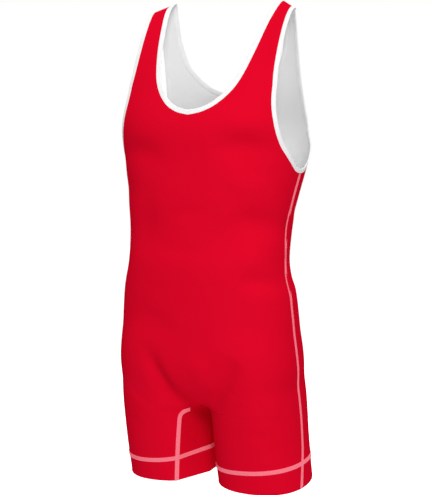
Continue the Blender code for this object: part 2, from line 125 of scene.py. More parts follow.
# Rows and columns of a panel's grid, with the crowding that brings rows closer together,
# and the degrees round the hem's fold at which its last rows lie
ROWS = {"neck": 56, "armhole": 26, "trunk": 104, "leg": 26, "hem": 9}
HEM_TURN = (22.0, 45.0, 66.0, 84.0)
CROWDING_AT_NECK = 1.5
CROWDING_AT_SHOULDER = 1.35
CROWDING_AT_CROTCH = 1.3
COLUMNS = 62
FINE = 260
REACH = 0.3
HALVINGS = 24
CROTCH_RANGE = (-0.06, 0.08)
CROTCH_DROP = 0.14
EDGE_HOLD = 0.45
EDGE_FADE = 0.30
SMALL_STEP = 0.0005
SLOPE_STEP = 0.004
SIGN = {"front": -1.0, "back": 1.0}

# Folds as (x, z) of both ends on the front or back, and their width and depth in metres.
# A negative depth is a soft ridge. The first eight lie where the solids have theirs; the rest
# are the pulls at the chest, waist and groin that the photo shows, and like ones elsewhere.
FOLD_COLUMNS = ("side", "x1", "z1", "x2", "z2", "bow", "width", "depth")
FOLDS = (
    ("front", 0.094, -0.590, 0.042, -0.684, 0.000, 0.013, 0.0020),
    ("front", -0.076, -0.574, -0.032, -0.682, 0.000, 0.013, 0.0044),
    ("front", 0.104, -0.662, 0.060, -0.690, 0.000, 0.008, 0.0012),
    ("front", -0.112, -0.656, -0.064, -0.688, 0.000, 0.008, 0.0012),
    ("back", 0.122, -0.668, 0.040, -0.690, 0.000, 0.012, 0.0044),
    ("back", -0.118, -0.672, -0.038, -0.690, 0.000, 0.012, 0.0040),
    ("back", 0.070, -0.418, -0.050, -0.408, 0.000, 0.015, 0.0024),
    ("back", -0.092, -0.446, 0.010, -0.452, 0.000, 0.013, 0.0018),
    ("front", 0.036, -0.245, 0.158, -0.244, 0.004, 0.019, 0.0076),
    ("front", -0.160, -0.248, -0.030, -0.258, 0.003, 0.019, 0.0056),
    ("front", 0.048, -0.206, 0.146, -0.206, 0.003, 0.020, -0.0026),
    ("front", 0.060, -0.284, 0.146, -0.320, 0.000, 0.020, -0.0034),
    ("front", 0.074, -0.352, 0.158, -0.382, 0.003, 0.021, 0.0082),
    ("front", 0.148, -0.398, 0.078, -0.446, 0.000, 0.022, -0.0026),
    ("front", 0.096, -0.456, 0.158, -0.472, 0.003, 0.014, 0.0044),
    ("front", -0.070, -0.290, -0.086, -0.440, 0.000, 0.023, 0.0030),
    ("front", -0.150, -0.300, -0.094, -0.326, 0.000, 0.018, 0.0022),
    ("front", -0.070, -0.386, 0.090, -0.390, 0.000, 0.030, -0.0036),
    ("front", -0.034, -0.352, 0.060, -0.350, 0.000, 0.010, 0.0012),
    ("front", -0.044, -0.412, 0.046, -0.414, 0.000, 0.012, 0.0012),
    ("front", -0.110, -0.514, 0.010, -0.572, 0.004, 0.022, 0.0030),
    ("front", -0.066, -0.592, -0.014, -0.676, -0.007, 0.015, 0.0062),
    ("front", 0.094, -0.592, 0.036, -0.676, 0.007, 0.015, 0.0062),
    ("front", 0.006, -0.584, 0.052, -0.652, 0.000, 0.016, -0.0018),
    ("front", -0.076, -0.634, -0.052, -0.660, 0.000, 0.004, 0.0008),
    ("front", 0.068, -0.640, 0.098, -0.654, 0.000, 0.004, 0.0008),
    ("front", 0.100, -0.712, 0.140, -0.722, 0.000, 0.012, 0.0010),
    ("front", -0.126, -0.708, -0.090, -0.724, 0.000, 0.012, 0.0012),
    ("back", 0.036, -0.236, 0.128, -0.262, 0.003, 0.018, 0.0022),
    ("back", -0.130, -0.256, -0.044, -0.232, 0.003, 0.018, 0.0024),
    ("back", 0.088, -0.316, 0.148, -0.352, 0.000, 0.012, 0.0018),
    ("back", -0.146, -0.346, -0.092, -0.318, 0.000, 0.013, 0.0020),
    ("back", 0.060, -0.444, 0.146, -0.462, -0.003, 0.010, 0.0022),
    ("back", -0.148, -0.470, -0.072, -0.478, 0.002, 0.010, 0.0016),
    ("back", 0.012, -0.640, 0.004, -0.690, 0.000, 0.008, 0.0020),
    ("back", 0.096, -0.650, 0.048, -0.672, 0.000, 0.005, 0.0012),
    ("back", -0.104, -0.646, -0.050, -0.668, 0.000, 0.005, 0.0014),
    ("back", -0.124, -0.716, -0.080, -0.730, 0.000, 0.012, 0.0012),
)
BROAD_FOLD = 0.017
NARROW_FADE = 0.7
BROAD_FADE = 1.5


def smooth_curve(xs, ys, x):
    """Cubic curve through the points (xs, ys), with the slope of its neighbours at each."""
    slope = np.gradient(ys, xs)
    x = np.clip(x, xs[0], xs[-1])
    i = np.clip(np.searchsorted(xs, x, side="right") - 1, 0, len(xs) - 2)
    step = xs[i + 1] - xs[i]
    t = (x - xs[i]) / step
    start = (2 * t**3 - 3 * t**2 + 1) * ys[i] + (t**3 - 2 * t**2 + t) * step * slope[i]
    end = (3 * t**2 - 2 * t**3) * ys[i + 1] + (t**3 - t**2) * step * slope[i + 1]
    return start + end


def read_table(table, columns, z):
    """Every column of a table at the heights z, by the column's name."""
    rows = np.array(table)[::-1]
    return {
        name: smooth_curve(rows[:, 0], rows[:, i], z)
        for i, name in enumerate(columns)
        if i > 0
    }


def soft_minimum(a, b, softness):
    """min(a, b), less softness / 4 * (1 - |a - b| / softness)**2 where the two are close."""
    blend = np.maximum(softness - np.abs(a - b), 0.0) / softness
    return np.minimum(a, b) - blend**2 * softness / 4


def leg_middle_x(leg, z, side):
    """Distance of a leg's middle from the centre plane; both legs sway a little to +X."""
    drop = np.clip((HIP - z) / (HIP - HEM), 0.0, 1.0)
    return leg["middle_x"] + side * LEG_SWAY * drop**2


def ellipse_distance(x, y, z, power):
    """Distance outside |x/a|**n + |y/b|**n + |z/c|**n = 1, along the line from its middle."""
    away = np.sqrt(x[0] ** 2 + y[0] ** 2 + z[0] ** 2) + 1e-9
    share = sum(np.abs(offset / half) ** power for offset, half in (x, y, z)) + 1e-12
    return away * (1.0 - share ** (-1.0 / power))


def outside(x, y, z):
    """Distance outside the wearer's general form: a pelvis and two thighs, blended."""
    torso = read_table(TORSO, TORSO_COLUMNS, z)
    dy = y - torso["middle_y"]
    depth = np.where(dy < 0.0, torso["front"], torso["back"])
    below = np.maximum(0.0, HIP - z)
    pelvis = ellipse_distance(
        (x, torso["half_width"]), (dy, depth), (below, PELVIS_DROP), TORSO_POWER
    )
    leg = read_table(LEGS, LEG_COLUMNS, z)
    dy = y - leg["middle_y"]
    depth = np.where(dy < 0.0, leg["front"], leg["back"])
    above = np.maximum(0.0, z - LEG_TOP)
    thighs = [
        ellipse_distance(
            (x * side - leg_middle_x(leg, z, side), leg["half_width"]),
            (dy, depth), (above, LEG_DOME), LEG_POWER,
        )
        for side in (1.0, -1.0)
    ]
    both = soft_minimum(thighs[0], thighs[1], SOFTNESS_BETWEEN_LEGS)
    return soft_minimum(pelvis, both, SOFTNESS_AT_GROIN)


def cast(start, direction, slopes, reach):
    """Where rays from inside the form leave it, found by halving.

    The height is start + tilt * dy + roll * dx + curl * dx**2, with the slopes in that order.
    """
    tilt, roll, curl = slopes
    near = np.zeros_like(reach)
    far = reach.copy()
    for _ in range(HALVINGS):
        middle = (near + far) / 2
        dx, dy = middle * direction[0], middle * direction[1]
        z = start[2] + tilt * dy + roll * dx + curl * dx**2
        inside = outside(start[0] + dx, start[1] + dy, z) < 0.0
        near = np.where(inside, middle, near)
        far = np.where(inside, far, middle)
    dx, dy = (near + far) / 2 * direction[0], (near + far) / 2 * direction[1]
    z = start[2] + tilt * dy + roll * dx + curl * dx**2
    return np.stack(np.broadcast_arrays(start[0] + dx, start[1] + dy, z), axis=-1)


def find_crotch():
    """The lowest point between the legs: its y, and its height."""
    y = np.linspace(*CROTCH_RANGE, FINE)
    low = np.full_like(y, HIP - CROTCH_DROP)
    high = np.full_like(y, HIP)
    for _ in range(HALVINGS):
        middle = (low + high) / 2
        inside = outside(np.zeros_like(y), y, middle) < 0.0
        high = np.where(inside, middle, high)
        low = np.where(inside, low, middle)
    i = int(np.argmin(high))
    return float(y[i]), float(high[i])


CROTCH_Y, CROTCH = find_crotch()


def torso_section(degrees, z, side):
    """(a sin**(2/n), middle +- b cos**(2/n), z): a torso section, 0 degrees in the middle."""
    torso = read_table(TORSO, TORSO_COLUMNS, z)
    turn = np.radians(degrees)
    x = torso["half_width"] * np.sin(turn) ** (2 / TORSO_POWER)
    depth = torso[side] * np.cos(turn).clip(0.0) ** (2 / TORSO_POWER)
    y = torso["middle_y"] + SIGN[side] * depth
    return np.stack(np.broadcast_arrays(x, y, z), axis=-1)


def strap_section(degrees, level, side):
    """Cubic Bezier curves from the chest or back up to the shoulder's ridge, at one share."""
    t = (level - STRAP_START) / STRAP_LENGTH
    foot = torso_section(degrees, np.full_like(level, STRAP_START), side)
    under = torso_section(degrees, np.full_like(level, STRAP_START - SLOPE_STEP), side)
    x = foot[..., 0]
    lean = (foot[..., 1] - under[..., 1]) / SLOPE_STEP
    rise = STRAP_RISE - RIDGE_SLOPE * (x - STRAP_MIDDLE)
    ridge_y = RIDGE_Y - RIDGE_SLANT * (x - STRAP_MIDDLE)
    pull = STRAP_PULL * rise
    ys = (foot[..., 1], foot[..., 1] + lean * pull,
          ridge_y + (foot[..., 1] - ridge_y) * STRAP_PULL, ridge_y)
    zs = (0.0, pull, rise, rise)
    weights = ((1 - t) ** 3, 3 * (1 - t) ** 2 * t, 3 * (1 - t) * t**2, t**3)
    y = sum(w * value for w, value in zip(weights, ys))
    z = STRAP_START + sum(w * value for w, value in zip(weights, zs))
    return np.stack([x, y, z], axis=-1)


def way_along(points):
    """The distance along each row of points at each point."""
    steps = np.linalg.norm(np.diff(points, axis=-2), axis=-1)
    start = np.zeros(steps.shape[:-1] + (1,))
    return np.concatenate([start, np.cumsum(steps, axis=-1)], axis=-1)


def leg_sections(level, side, leg_side):
    """Sections of the pelvis and one leg, cast outwards from the leg's middle.

    They start at the side seam. Returns the points, the way along them, and how far
    along them the centre line and the inseam lie.
    """
    leg = read_table(LEGS, LEG_COLUMNS, level)
    middle_x = leg_middle_x(leg, level, leg_side)
    middle_y = leg["middle_y"]
    down = np.clip((CROTCH - level) / (CROTCH - HEM), 0.0, 1.0)
    roll, curl = (
        np.interp(level, (HEM, HEM + HEM_DEPTH, CROTCH), (*pair[leg_side], 0.0))
        for pair in (HEM_ROLL, HEM_CURL)
    )
    slopes = (HEM_TILT * down, roll, curl)
    seam_y = leg["seam_y"]
    outer = (leg_side * middle_x, seam_y, level + slopes[0] * (seam_y - middle_y))
    seam = cast(outer, (leg_side, 0.0), slopes, np.full_like(level, REACH))
    first = np.arctan2(middle_y - seam_y, leg_side * seam[:, 0] - middle_x)
    to_crotch = np.arctan2(middle_y - CROTCH_Y, -middle_x)
    low, high = INSEAM_AT_HEM[leg_side], INSEAM_AT_CROTCH[leg_side]
    settled = np.radians(low + (high - low) * (1.0 - down))
    settle = 1.0 - np.exp(-np.maximum(CROTCH - level, 0.0) / INSEAM_SETTLE)
    on_leg = level < CROTCH
    inside = np.where(on_leg, to_crotch, np.pi)
    inseam = np.where(on_leg, to_crotch + (settled - to_crotch) * settle, np.pi)
    if side == "back":
        inside = inside - 2 * np.pi
        inseam = inseam - 2 * np.pi
    farthest = inside if side == "front" else inseam
    turn = first[:, None] + (farthest - first)[:, None] * np.linspace(0.0, 1.0, FINE)
    across = np.cos(turn)
    along = -np.sin(turn)
    middle_x, middle_y, *slopes = (a[:, None] for a in (middle_x, middle_y, *slopes))
    reach = np.where(across < -1e-6, middle_x / np.maximum(-across, 1e-6), REACH)
    start = (leg_side * middle_x, middle_y, level[:, None])
    points = cast(start, (leg_side * across, along), slopes, np.minimum(reach, REACH))
    out = (0.0, np.full_like(level, SIGN[side]))
    centre = cast((0.0, CROTCH_Y, level), out, (0.0, 0.0, 0.0), np.full_like(level, REACH))
    centre[level <= CROTCH] = (0.0, CROTCH_Y, CROTCH)
    past = (leg_side * points[..., 0] < SMALL_STEP) & ~on_leg[:, None]
    past[:, -1] |= ~on_leg
    points = np.where(past[..., None], centre[:, None], points)
    way = way_along(points)
    ends = [
        np.array([
            np.interp(abs(end - a), abs(row - a), w)
            for end, a, row, w in zip(angle, first, turn, way)
        ])
        for angle in (inside, inseam)
    ]
    return points, way, *ends


def edge_value(table, level):
    """An edge's place at a level, on a smooth curve through the table's points."""
    edge = dict(zip(EDGE_COLUMNS, np.array(table).T))
    place, levels = edge["place"], edge["level"]
    steps = np.hypot(np.diff(place) / np.ptp(place), np.diff(levels) / np.ptp(levels))
    way = np.concatenate([[0.0], np.cumsum(steps)])
    fine = np.linspace(0.0, way[-1], 3 * FINE)
    fine_levels = np.maximum.accumulate(smooth_curve(way, levels, fine))
    return np.interp(level, fine_levels, smooth_curve(way, place, fine))


def degrees_at(x, level):
    """How far round a section of the torso or strap an x lies, in degrees."""
    half_width = read_table(TORSO, TORSO_COLUMNS, np.minimum(level, STRAP_START))["half_width"]
    return np.degrees(np.arcsin(np.clip(x / half_width, 0.0, 1.0) ** (TORSO_POWER / 2)))


def panel_levels(side):
    """The levels of a panel's rows, and the row of each place along it by name."""
    def shares(count):
        """Even shares of a stretch, from its start up to the start of the next."""
        return np.linspace(0.0, 1.0, count, endpoint=False)

    neck = NECK_EDGES[side][0][1]
    fall = 1.0 - (1.0 - (1.0 - shares(ROWS["neck"])) ** CROWDING_AT_NECK) ** CROWDING_AT_SHOULDER
    beside_neck = neck + (SHOULDER - neck) * fall
    beside_armhole = neck + (ARMHOLE - neck) * (1.0 - np.cos(np.pi * shares(ROWS["armhole"]))) / 2
    fall = (1.0 - shares(ROWS["trunk"])) ** CROWDING_AT_CROTCH
    trunk = CROTCH + (ARMHOLE - CROTCH) * fall
    hem_seam = HEM + HEM_DEPTH
    leg = CROTCH + (hem_seam - CROTCH) * shares(ROWS["leg"]) ** CROWDING_AT_CROTCH
    bend = HEM_CLOTH / 2
    hem = np.linspace(hem_seam, HEM + bend, ROWS["hem"])
    turned = HEM + bend * (1.0 - np.sin(np.radians(HEM_TURN)))
    levels = np.concatenate([beside_neck, beside_armhole, trunk, leg, hem, turned])
    marks = dict(zip(("neck", "armhole", "crotch", "hem"), np.cumsum(list(ROWS.values()))))
    return levels, marks


def half_panel(side, leg_side, levels):
    """One half of a panel as rows of points from its outer edge in, with the way along each.

    The columns are spread evenly over the whole section. Where an opening or the inseam
    takes some of its length, the nearest columns move over and the others stay.
    """
    degrees = np.linspace(90.0, 0.0, FINE)
    straps = levels[levels > STRAP_START][:, None]
    torso = levels[(levels <= STRAP_START) & (levels > CASTING_TOP)][:, None]
    upper = np.concatenate([strap_section(degrees, straps, side), torso_section(degrees, torso, side)])
    upper[..., 0] *= leg_side
    lower, lower_way, inside, inseam = leg_sections(levels[levels <= CASTING_TOP], side, leg_side)
    lines = np.concatenate([upper, lower])
    ways = np.concatenate([way_along(upper), lower_way])
    total = np.concatenate([ways[: len(upper), -1], inside])
    start = np.zeros(len(levels))
    end = np.concatenate([total[: len(upper)], inseam])
    outer = edge_value(ARMHOLE_EDGES[side], levels)
    inner = degrees_at(edge_value(NECK_EDGES[side], levels), levels)
    for row, level in enumerate(levels[: len(upper)]):
        if level > ARMHOLE:
            start[row] = np.interp(-outer[row], -degrees, ways[row])
        if level > NECK_EDGES[side][0][1]:
            end[row] = np.interp(-inner[row], -degrees, ways[row])
    share = np.linspace(0.0, 1.0, COLUMNS)
    start, end, total = start[:, None], end[:, None], total[:, None]
    room = np.clip(((end - start) / total - EDGE_HOLD) / EDGE_FADE, 0.0, 1.0)
    near_outer, near_inner = (
        1.0 + room * np.maximum(0.0, EDGE_HOLD * total / np.maximum(taken, SMALL_STEP) - 1.0)
        for taken in (start, total - end)
    )
    at = share * total + start * (1.0 - share) ** near_outer + (end - total) * share**near_inner
    points = np.stack([
        np.stack([np.interp(a, w, line[:, axis]) for axis in range(3)], axis=-1)
        for a, w, line in zip(at, ways, lines)
    ])
    return points, total - at


def outward(points, levels, side, leg_side):
    """Unit normals: the form's slope on torso and legs, and the cross product on straps."""
    x, y, z = np.moveaxis(points, -1, 0)
    slope = np.stack([
        outside(x + SMALL_STEP, y, z) - outside(x - SMALL_STEP, y, z),
        outside(x, y + SMALL_STEP, z) - outside(x, y - SMALL_STEP, z),
        outside(x, y, z + SMALL_STEP) - outside(x, y, z - SMALL_STEP),
    ], axis=-1)
    down = np.gradient(points, axis=0)
    in_ = np.gradient(points, axis=1)
    crossed = np.cross(down, in_) * SIGN[side] * leg_side
    normals = np.where((levels > STRAP_START)[:, None, None], crossed, slope)
    return normals / np.linalg.norm(normals, axis=-1, keepdims=True)


def fold_depth(points, side):
    """Sum of the folds: depth * exp(-(d / width)**2) * sin(pi * way)**n.

    Here d is the distance in x and z from the fold's own bowed line, way is the share of
    that line passed, and n is BROAD_FADE where a fold is broad and NARROW_FADE elsewhere.
    """
    depth = np.zeros(points.shape[:-1])
    flat = points[..., (0, 2)]
    for fold in FOLDS:
        fold = dict(zip(FOLD_COLUMNS, fold))
        if fold["side"] != side:
            continue
        start = np.array([fold["x1"], fold["z1"]])
        run = np.array([fold["x2"], fold["z2"]]) - start
        length = np.linalg.norm(run)
        aside = np.array([-run[1], run[0]]) / length
        way = np.clip((flat - start) @ run / length**2, 0.0, 1.0)
        bowed = start + way[..., None] * run
        bowed = bowed + (fold["bow"] * 4.0 * way * (1.0 - way))[..., None] * aside
        away = np.linalg.norm(flat - bowed, axis=-1) / fold["width"]
        power = NARROW_FADE if fold["width"] < BROAD_FOLD else BROAD_FADE
        depth += fold["depth"] * np.exp(-(away**2)) * np.sin(np.pi * way) ** power
    return depth


def make_sheet(side):
    """Both halves of a panel: points, normals and distances from its middle, row by row."""
    levels, marks = panel_levels(side)
    sheet = {"levels": levels, "marks": marks}
    for half, leg_side in (("left", 1.0), ("right", -1.0)):
        points, across = half_panel(side, leg_side, levels)
        normals = outward(points, levels, side, leg_side)
        points = points - fold_depth(points, side)[..., None] * normals
        sheet[half] = {"points": points, "normals": normals, "across": across * leg_side}
    return sheet


SHARP_EDGE = 50.0


def make_mesh(name, points, quads, materials=(), slots=None, uv=None):
    """A smooth-shaded mesh object from arrays, with a sharp edge where faces meet steeply."""
    mesh = bpy.data.meshes.new(name)
    mesh.vertices.add(len(points))
    mesh.vertices.foreach_set("co", np.ascontiguousarray(points, np.float32).ravel())
    mesh.loops.add(quads.size)
    mesh.loops.foreach_set("vertex_index", np.ascontiguousarray(quads, np.int32).ravel())
    mesh.polygons.add(len(quads))
    mesh.polygons.foreach_set("loop_start", np.arange(0, quads.size, 4, dtype=np.int32))
    if uv is not None:
        layer = mesh.uv_layers.new(name="cloth")
        layer.data.foreach_set("uv", np.ascontiguousarray(uv[quads.ravel()], np.float32).ravel())
    for material in materials:
        mesh.materials.append(material)
    if slots is not None:
        mesh.polygons.foreach_set("material_index", np.ascontiguousarray(slots, np.int32))
    mesh.update(calc_edges=True)
    mesh.validate()
    mesh.shade_smooth()
    mesh.set_sharp_from_angle(angle=np.radians(SHARP_EDGE))
    made = bpy.data.objects.new(name, mesh)
    bpy.context.scene.collection.objects.link(made)
    return made


def node(tree, kind, inputs=None, **settings):
    """A shader node with its settings, whose inputs are values or other nodes' outputs."""
    made = tree.nodes.new(kind)
    for name, value in settings.items():
        setattr(made, name, value)
    for key, value in (inputs or {}).items():
        if isinstance(value, bpy.types.NodeSocket):
            tree.links.new(value, made.inputs[key])
        else:
            made.inputs[key].default_value = value
    return made


def new_material(name, roughness, sheen=0.0, sheen_roughness=0.5, specular=0.0):
    """A material and its Principled shader, with the shader's constant sockets set."""
    material = bpy.data.materials.new(name)
    material.use_nodes = True
    shader = material.node_tree.nodes["Principled BSDF"]
    shader.inputs["Roughness"].default_value = roughness
    shader.inputs["Sheen Weight"].default_value = sheen
    shader.inputs["Sheen Roughness"].default_value = sheen_roughness
    shader.inputs["Specular IOR Level"].default_value = specular
    return material, shader


def maths(tree, operation, a, b=0.0, c=0.0):
    """The result of one Math node on values or sockets."""
    made = node(tree, "ShaderNodeMath", {0: a, 1: b, 2: c}, operation=operation)
    return made.outputs[0]


WALE = 0.0011
COURSE = 0.0009


def knit_material(name, colour, dark, roughness, sheen, relief):
    """Fine knit on the cloth's own UV in metres: columns of V stitches.

    Height is |sin(pi u / wale)|, times 0.7 + 0.3 sin(2 pi (v / course + slant)), where the
    slant follows the distance from the column's middle. Colour follows height a little, so the
    low gaps between stitches are painted darker: painted shade. A soft cloudiness of 60 mm
    patches of random tone lies over it.
    """
    material, shader = new_material(name, roughness, sheen)
    tree = material.node_tree
    uv = node(tree, "ShaderNodeUVMap", uv_map="cloth").outputs["UV"]
    split = node(tree, "ShaderNodeSeparateXYZ", {0: uv})
    columns = maths(tree, "DIVIDE", split.outputs["X"], WALE)
    beside = maths(tree, "ABSOLUTE", maths(tree, "SUBTRACT", maths(tree, "FRACT", columns), 0.5))
    ridge = maths(tree, "SINE", maths(tree, "MULTIPLY", maths(tree, "FRACT", columns), np.pi))
    rows = maths(tree, "DIVIDE", split.outputs["Y"], COURSE)
    slanted = maths(tree, "MULTIPLY", maths(tree, "ADD", rows, beside), 2 * np.pi)
    stitch = maths(tree, "MULTIPLY_ADD", maths(tree, "SINE", slanted), 0.3, 0.7)
    height = maths(tree, "MULTIPLY", ridge, stitch)
    place = node(tree, "ShaderNodeTexCoord").outputs["Object"]
    cloud = node(tree, "ShaderNodeTexNoise", {"Vector": place, "Scale": 16.0, "Detail": 3.0})
    # Colour mix: painted shade in the low stitch gaps, plus random cloudy tone
    gap_shade_and_tone = maths(tree, "MULTIPLY_ADD", height, 0.55, maths(tree, "MULTIPLY", cloud.outputs["Fac"], 0.5))
    tint = node(tree, "ShaderNodeMix", {0: gap_shade_and_tone, 6: (*dark, 1.0), 7: (*colour, 1.0)}, data_type="RGBA")
    bump = node(tree, "ShaderNodeBump", {"Height": height, "Strength": relief, "Distance": 0.0002})
    tree.links.new(tint.outputs[2], shader.inputs["Base Color"])
    tree.links.new(bump.outputs["Normal"], shader.inputs["Normal"])
    return material


# The darker colours give the stitch gaps their painted shade and are the dark end of the random cloudy
# tone
RED = (0.74, 0.0030, 0.024)
RED_SHADE_AND_TONE = (0.66, 0.0016, 0.016)
INSIDE = (0.90, 0.90, 0.90)
INSIDE_SHADE_AND_TONE = (0.80, 0.80, 0.80)
red_knit = knit_material("red_knit_face", RED, RED_SHADE_AND_TONE, 0.55, 0.0, 0.35)
white_back = knit_material("white_knit_back", INSIDE, INSIDE_SHADE_AND_TONE, 0.80, 0.0, 0.5)


def make_panel(name, sheet):
    """A panel with both legs: two half grids sharing their middle points, made a closed wall.

    The wall's inner side lies CLOTH under its face, and HEM_CLOTH under it at the hem,
    where both sides turn in to meet at the fold: r (1 - cos a) at the height r (1 - sin a).
    """
    levels, marks = sheet["levels"], sheet["marks"]
    rows, columns = sheet["left"]["points"].shape[:2]
    number = np.arange(rows * columns).reshape(rows, columns)
    mirrored = number + rows * columns
    shared = slice(marks["neck"], marks["crotch"] + 1)
    mirrored[shared, -1] = number[shared, -1]
    thick = np.full(rows, CLOTH)
    thick[marks["hem"] + 1:] = HEM_CLOTH
    bend = HEM_CLOTH / 2
    below = np.clip(1.0 - (levels - HEM) / bend, 0.0, 1.0)
    turned = bend * (1.0 - np.sqrt(1.0 - below**2))
    points, insides, uvs = [], [], []
    for half in (sheet["left"], sheet["right"]):
        face = half["points"] - half["normals"] * turned[:, None, None]
        points.append(face.reshape(-1, 3))
        inner = half["points"] - half["normals"] * (thick - turned)[:, None, None]
        insides.append(inner.reshape(-1, 3))
        down = np.linalg.norm(np.diff(half["points"], axis=0), axis=-1).mean(axis=1)
        down = np.broadcast_to(np.concatenate([[0.0], np.cumsum(down)])[:, None], (rows, columns))
        uvs.append(np.stack([half["across"], -down], axis=-1).reshape(-1, 2))
    quads, hems = [], []
    for grid, order in ((number, 1), (mirrored, -1)):
        corners = (grid[:-1, :-1], grid[:-1, 1:], grid[1:, 1:], grid[1:, :-1])
        quads.append(np.stack(corners, axis=-1).reshape(-1, 4)[:, ::order])
        hems.append(np.repeat(np.arange(rows - 1) >= marks["hem"], columns - 1))
    quads, hems = np.concatenate(quads), np.concatenate(hems)
    used, quads = np.unique(quads, return_inverse=True)
    quads = quads.reshape(-1, 4)
    face, inner, uv = (np.concatenate(part)[used] for part in (points, insides, uvs))
    if name.startswith("back"):
        quads = quads[:, ::-1]
    edges = np.stack([quads, np.roll(quads, -1, axis=1)], axis=-1).reshape(-1, 2)
    _, first, uses = np.unique(np.sort(edges, axis=1), axis=0, return_index=True, return_counts=True)
    rim = edges[first[uses == 1]]
    count = len(face)
    walls = np.stack([rim[:, 1], rim[:, 0], rim[:, 0] + count, rim[:, 1] + count], axis=-1)
    faces = np.concatenate([quads, quads[:, ::-1] + count, walls])
    slots = np.concatenate([np.zeros(len(quads)), np.where(hems, 0, 1), np.zeros(len(walls))])
    return make_mesh(
        name, np.concatenate([face, inner]), faces, (red_knit, white_back), slots,
        np.concatenate([uv, uv]),
    )


front = make_sheet("front")
back = make_sheet("back")
front_cloth = make_panel("front_cloth", front)
back_cloth = make_panel("back_cloth", back)
for cloth, cad in ((front_cloth, "front_panel"), (back_cloth, "back_panel")):
    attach(cloth, "root")
    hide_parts(cad)


# Flat seams. Four needle threads and two looper threads in pink, on a low pad of packed
# thread, join the panels edge to edge: down both sides, down both inseams, and round each leg
# where the hem is turned up. The first 50 mm of an inseam turn under and are left plain.
STITCH = 0.0025
SEAM_WIDTH = 0.0072
NEEDLE_ROWS = (-0.0031, -0.0015, 0.0015, 0.0031)
THREAD = 0.00019
THICKER = 1.1
PAD_HEIGHT = 0.00022
PAD_SINK = 0.0004
PAD_POINTS = 6
HEM_LIFT = 0.0003
DIVE_DEPTH = 2.4
DIVE_POWER = 6
SWING_POWER = 0.7
STEPS_A_STITCH = 5
SIDE_SEAM_START = 0.0014
INSEAM_START = 0.050


def follow(points, normals, step, closed=False, start=0.0):
    """Even steps along a path from a start, with its unit outward and sideways directions.

    Sideways is outward x forward, and outward is then made square to the path.
    """
    if closed:
        points = np.concatenate([points, points[:1]])
        normals = np.concatenate([normals, normals[:1]])
    way = way_along(points)
    count = max(4, int(round(way[-1] / step)))
    at = np.linspace(start, way[-1], count, endpoint=not closed)
    path = np.stack([np.interp(at, way, points[:, axis]) for axis in range(3)], axis=-1)
    out = np.stack([np.interp(at, way, normals[:, axis]) for axis in range(3)], axis=-1)
    if closed:
        forward = np.roll(path, -1, axis=0) - np.roll(path, 1, axis=0)
    else:
        forward = np.gradient(path, axis=0)
    forward /= np.linalg.norm(forward, axis=-1, keepdims=True)
    aside = np.cross(out, forward)
    aside /= np.linalg.norm(aside, axis=-1, keepdims=True)
    out = np.cross(forward, aside)
    return {"path": path, "out": out, "aside": aside, "at": at, "closed": closed}


def carried(line, section):
    """A profile carried along a line: path + s * aside + h * out, for each (s, h) of it.

    The profile is one for the whole line or one for each of its points. Open ends are
    closed with a strip of quads across the profile, which has an even number of points.
    """
    section = np.broadcast_to(section, (len(line["path"]),) + np.shape(section)[-2:])
    points = (line["path"][:, None] + section[..., :1] * line["aside"][:, None]
              + section[..., 1:] * line["out"][:, None])
    rings, around = points.shape[:2]
    number = np.arange(rings * around).reshape(rings, around)
    after = np.roll(number, -1, axis=1)
    if line["closed"]:
        ahead, ahead_after = np.roll(number, -1, axis=0), np.roll(after, -1, axis=0)
    else:
        number, after, ahead, ahead_after = number[:-1], after[:-1], number[1:], after[1:]
    quads = np.stack([number, after, ahead_after, ahead], axis=-1).reshape(-1, 4)
    points = points.reshape(-1, 3)
    if not line["closed"]:
        for ring, order in ((0, -1), ((rings - 1) * around, 1)):
            top = ring + np.arange(around // 2)
            low = ring + around - 1 - np.arange(around // 2)
            cap = np.stack([top[:-1], top[1:], low[1:], low[:-1]], axis=-1)
            quads = np.concatenate([quads, cap[:, ::order]])
    return points, quads[:, ::-1]


def even_pitch(line):
    """The pitch nearest to STITCH that fits a whole number of double stitches in a loop."""
    around = line["at"][1] * len(line["at"])
    return around / round(around / STITCH / 2) / 2


def thread_ring(size, offset, height, sides=6):
    """Circles (offset + r cos a, height + r sin a), one for each point of the line."""
    turn = -2 * np.pi * np.arange(sides) / sides
    ring = size * np.stack([np.cos(turn), np.sin(turn)], axis=-1)
    return np.stack([offset, height], axis=-1)[:, None] + ring


def needle_row(line, offset, height, size, pitch):
    """A row of stitches: a thread that dives at each hole by |cos(pi way / pitch)|**n."""
    dive = np.abs(np.cos(np.pi * line["at"] / pitch)) ** DIVE_POWER
    lift = height + size * (0.5 - DIVE_DEPTH * dive)
    return carried(line, thread_ring(size, np.full_like(lift, offset), lift))


def looper(line, reach, height, size, pitch, phase):
    """A thread that swings from side to side: s = reach * sin, squared off by a power."""
    swing = np.sin(2 * np.pi * (line["at"] / pitch / 2 + phase))
    swing = np.sign(swing) * np.abs(swing) ** SWING_POWER
    centre = line["path"] + (reach * swing)[:, None] * line["aside"]
    centre = centre + (height + size * 0.4 * swing**2)[:, None] * line["out"]
    moved = follow_points(centre, line)
    return carried(moved, thread_ring(size, np.zeros(len(centre)), np.zeros(len(centre))))


def follow_points(centre, line):
    """The line with its points replaced, and its sideways direction square to their path."""
    if line["closed"]:
        forward = np.roll(centre, -1, axis=0) - np.roll(centre, 1, axis=0)
    else:
        forward = np.gradient(centre, axis=0)
    forward /= np.linalg.norm(forward, axis=-1, keepdims=True)
    aside = np.cross(line["out"], forward)
    aside /= np.linalg.norm(aside, axis=-1, keepdims=True)
    return {**line, "path": centre, "aside": aside}


def joined(parts):
    """Several (points, quads) pairs as one."""
    starts = np.cumsum([0] + [len(points) for points, _ in parts[:-1]])
    points = np.concatenate([points for points, _ in parts])
    return points, np.concatenate([quads + start for (_, quads), start in zip(parts, starts)])


